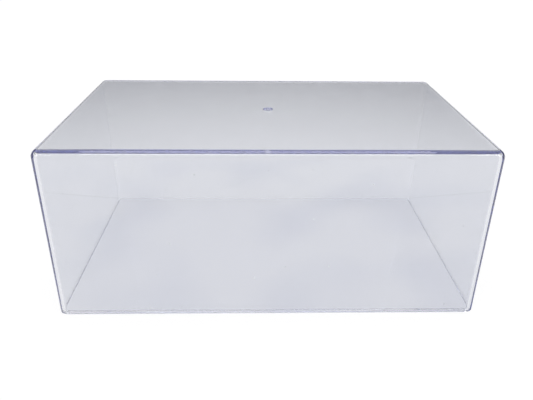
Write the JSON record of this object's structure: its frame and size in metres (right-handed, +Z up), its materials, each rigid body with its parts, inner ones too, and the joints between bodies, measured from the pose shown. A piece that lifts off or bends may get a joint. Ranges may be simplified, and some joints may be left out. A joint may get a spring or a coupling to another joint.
{
  "type": "slot car display case",
  "caption": "Clear moulded display case for one large slot car: a five-sided lift-off cover with drafted walls and rolled edges, over a thin flat base plate.",
  "frame": {"origin": "middle of the plane that the case stands on", "axes": "+X along the case, to the right from the front; +Y from the front to the back; +Z up"},
  "size_m": [0.2416, 0.133, 0.1],
  "materials": {
    "clear_cover": "clear moulded polystyrene, glossy, a faint violet blue in its edges",
    "clear_plate": "clear sheet, glossy"
  },
  "bodies": {
    "base": {"base_plate": "clear_plate"},
    "cover": {"cover": "clear_cover"}
  },
  "joints": [
    {"name": "cover_lift", "type": "slide", "parent": "base", "child": "cover", "axis": [0, 0, 1], "range_m": [0, 0.12]}
  ]
}
